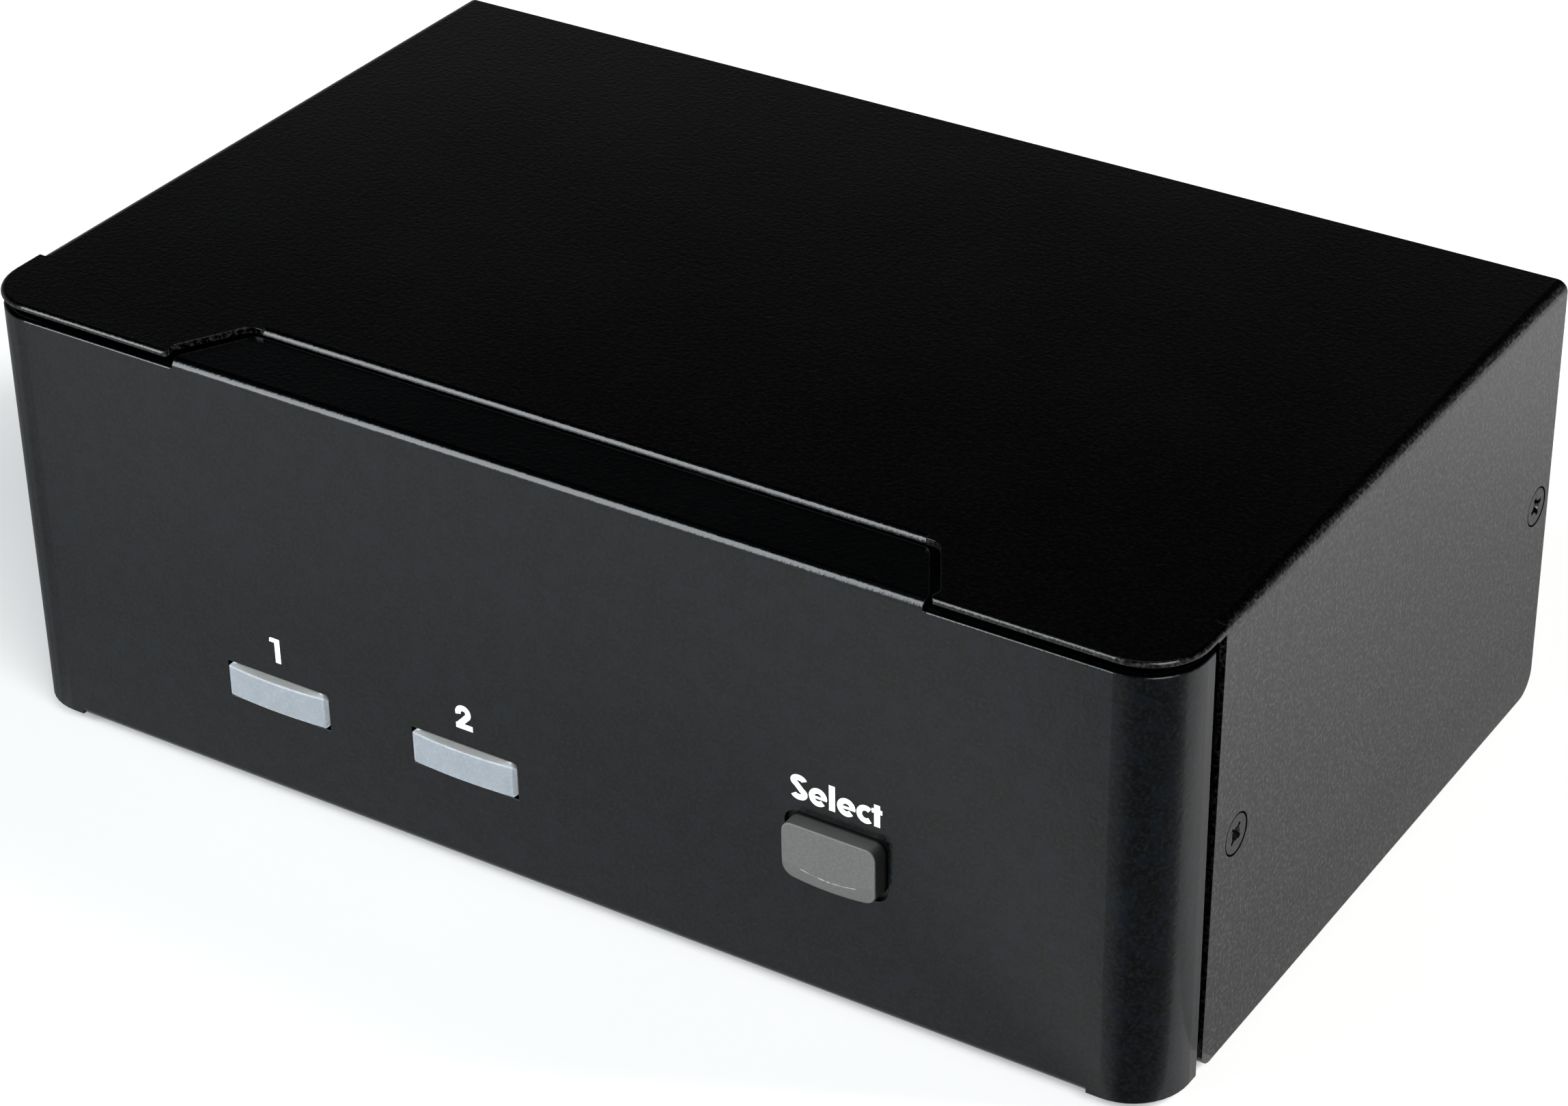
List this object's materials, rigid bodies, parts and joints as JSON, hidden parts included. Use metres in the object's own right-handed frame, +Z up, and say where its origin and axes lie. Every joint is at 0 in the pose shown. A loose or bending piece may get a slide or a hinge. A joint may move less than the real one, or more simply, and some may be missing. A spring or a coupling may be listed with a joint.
{
  "type": "kvm switch",
  "caption": "Desktop keyboard, video and mouse switch in a folded steel case, with a select button, indicator windows and a rear panel of sockets.",
  "frame": {"origin": "middle of the bounding box's footprint, on the surface the feet stand on", "axes": "+X to the right as seen from the front, -Y out of the front panel, +Z up"},
  "size_m": [0.2006, 0.1298, 0.0733],
  "materials": {
    "cover_coat": "fine-textured black powder coat",
    "chassis_coat": "fine-textured black powder coat",
    "black_screw": "black zinc",
    "rubber": "matt",
    "window_plastic": "frosted translucent grey",
    "button_plastic": "fine-textured grey",
    "black_plastic": "moulded",
    "white_plastic": "moulded",
    "blue_plastic": "moulded",
    "green_plastic": "moulded",
    "pink_plastic": "moulded",
    "board_green": "solder mask",
    "film": "polyester film",
    "zinc": "zinc plated",
    "brass": "turned",
    "shell_metal": "tin plated",
    "led_resin": "clear resin",
    "chip_resin": "moulded epoxy",
    "anodised": "black anodised",
    "capacitor_sleeve": "shrink sleeve",
    "ferrite": "sintered"
  },
  "bodies": {
    "case": {"top_cover": "cover_coat", "chassis": "chassis_coat", "rear_panel": "chassis_coat", "cover_screws": "black_screw", "rear_panel_screws": "black_screw", "rubber_feet": "rubber", "led_window_1": "window_plastic", "led_window_2": "window_plastic", "select_switch": "black_plastic", "button_guide": "white_plastic", "front_board": "board_green", "front_board_screws": "zinc", "status_leds": "led_resin", "board_header": "black_plastic", "insulating_sheet": "film", "main_board": "board_green", "video_board": "board_green", "lower_standoffs": "zinc", "upper_standoffs": "brass", "board_screws": "zinc", "stack_socket": "black_plastic", "stack_plug": "black_plastic", "dvi_port_console": "shell_metal", "dvi_port_1": "shell_metal", "dvi_port_2": "shell_metal", "dvi_inserts": "white_plastic", "vga_port_console": "shell_metal", "vga_port_1": "shell_metal", "vga_port_2": "shell_metal", "vga_inserts": "blue_plastic", "jackscrews": "zinc", "usb_a_ports_hub": "shell_metal", "usb_a_ports_console": "shell_metal", "usb_a_tongues": "black_plastic", "usb_b_port_1": "shell_metal", "usb_b_port_2": "shell_metal", "usb_b_tongues": "white_plastic", "speaker_jacks": "green_plastic", "microphone_jacks": "pink_plastic", "dc_jack": "black_plastic", "dc_jack_pin": "zinc", "video_chips": "chip_resin", "usb_hub_chip": "chip_resin", "heat_sink": "anodised", "crystals": "shell_metal", "capacitors": "capacitor_sleeve", "power_inductor": "ferrite", "buzzer": "black_plastic"},
    "button": {"select_button": "button_plastic"},
    "plunger": {"switch_plunger": "black_plastic"}
  },
  "joints": [
    {"name": "button_press", "type": "slide", "parent": "case", "child": "button", "axis": [0, 1, 0], "range_m": [0, 0.0006], "stiffness_N_per_m": 400, "springref_m": -0.0006},
    {"name": "plunger_press", "type": "slide", "parent": "case", "child": "plunger", "axis": [0, 1, 0], "range_m": [0, 0.0006]}
  ],
  "couplings": [
    {"joint": "plunger_press", "follows": "button_press", "ratio": 1}
  ]
}
